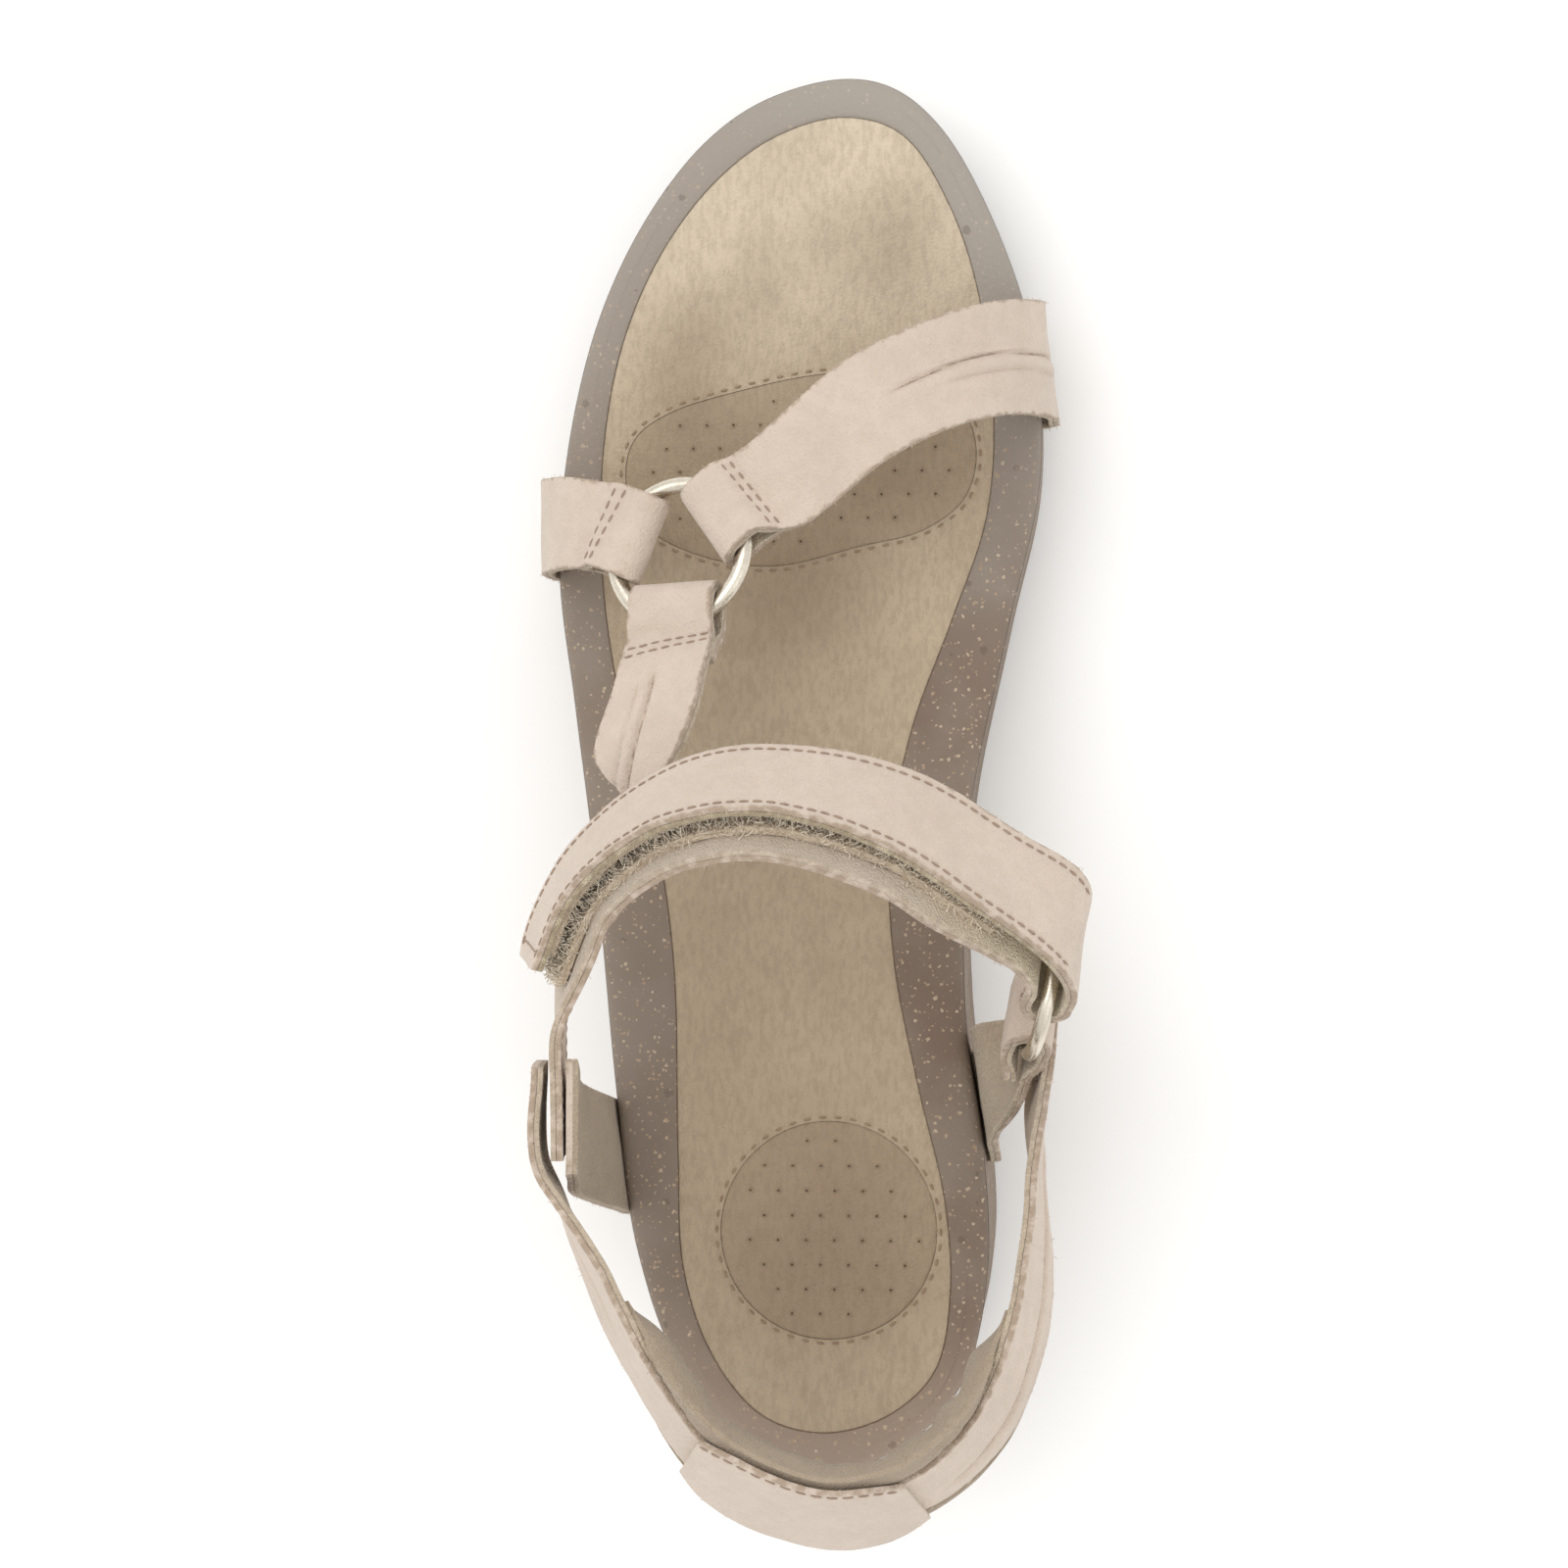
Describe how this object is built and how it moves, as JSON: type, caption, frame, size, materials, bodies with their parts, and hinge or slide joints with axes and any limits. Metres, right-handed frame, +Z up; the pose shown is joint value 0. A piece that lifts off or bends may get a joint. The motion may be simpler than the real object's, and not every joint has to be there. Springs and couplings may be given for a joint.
{
  "type": "wedge sandal",
  "caption": "Left wedge sandal: thick moulded sole with an inlaid leather footbed, and lined leather straps that meet at metal rings and close over the instep with a hook-and-loop flap.",
  "frame": {"origin": "on the flat ground face of the outsole, midway between the ends of the sole", "axes": "+Y to the toe, +X to the medial (inner) side of the left foot, +Z up"},
  "size_m": [0.11, 0.281, 0.1227],
  "materials": {
    "outsole_rubber": "matt moulded rubber, grooved",
    "sole_foam": "matt taupe foam with pale cork-like specks",
    "shank_steel": "spring steel strip",
    "fibre_board": "pressed fibre board",
    "soft_foam": "soft open-cell foam",
    "footbed_leather": "worn vegetable-tanned leather, matt, darkened where the foot rests",
    "pad_leather": "perforated leather, matt",
    "strap_leather": "nubuck with raw cut edges and tonal stitching",
    "strap_lining": "split-leather lining",
    "hook_and_pile": "woven tape with hooks or looped pile",
    "ring_metal": "satin nickel"
  },
  "bodies": {
    "sole_and_straps": {"outsole": "outsole_rubber", "wedge_base": "sole_foam", "footbed_frame": "sole_foam", "shank": "shank_steel", "insole_board": "fibre_board", "footbed_foam": "soft_foam", "heel_cushion": "soft_foam", "footbed_cover": "footbed_leather", "forefoot_pad": "pad_leather", "heel_pad": "pad_leather", "toe_strap": "strap_leather", "toe_strap_lining": "strap_lining", "lateral_tab": "strap_leather", "lateral_tab_lining": "strap_lining", "connector_strap": "strap_leather", "connector_strap_lining": "strap_lining", "instep_strap": "strap_leather", "instep_strap_lining": "strap_lining", "pile_tape": "hook_and_pile", "medial_quarter": "strap_leather", "medial_quarter_lining": "strap_lining", "lateral_quarter": "strap_leather", "lateral_quarter_lining": "strap_lining"},
    "closure": {"closure_flap": "strap_leather", "closure_flap_lining": "strap_lining", "hook_tape": "hook_and_pile"},
    "heel_counter_strap": {"heel_strap": "strap_leather", "heel_strap_lining": "strap_lining", "collar_cover": "strap_leather", "collar_pad": "soft_foam", "collar_lining": "strap_lining"},
    "toe_ring": {"forefoot_ring": "ring_metal"},
    "ankle_ring": {"medial_ring": "ring_metal"}
  },
  "joints": [
    {"name": "closure_peel", "type": "hinge", "parent": "sole_and_straps", "child": "closure", "pos_m": [0.05199, -0.0306, 0.09874], "axis": [0.22, 0.7568, -0.6156], "range_deg": [0, 120]},
    {"name": "heel_strap_fold", "type": "hinge", "parent": "sole_and_straps", "child": "heel_counter_strap", "pos_m": [-0.0006, -0.06014, 0.07653], "axis": [0.9458, 0.0827, -0.3139], "range_deg": [0, 16], "stiffness_Nm_per_rad": 0.15},
    {"name": "forefoot_ring_spin", "type": "hinge", "parent": "sole_and_straps", "child": "toe_ring", "pos_m": [-0.0242, 0.04, 0.06], "axis": [-0.3008, 0.2005, 0.9324], "continuous": true},
    {"name": "medial_ring_spin", "type": "hinge", "parent": "sole_and_straps", "child": "ankle_ring", "pos_m": [0.0455, -0.0425, 0.082], "axis": [0.9723, -0.2005, -0.1203], "continuous": true}
  ]
}
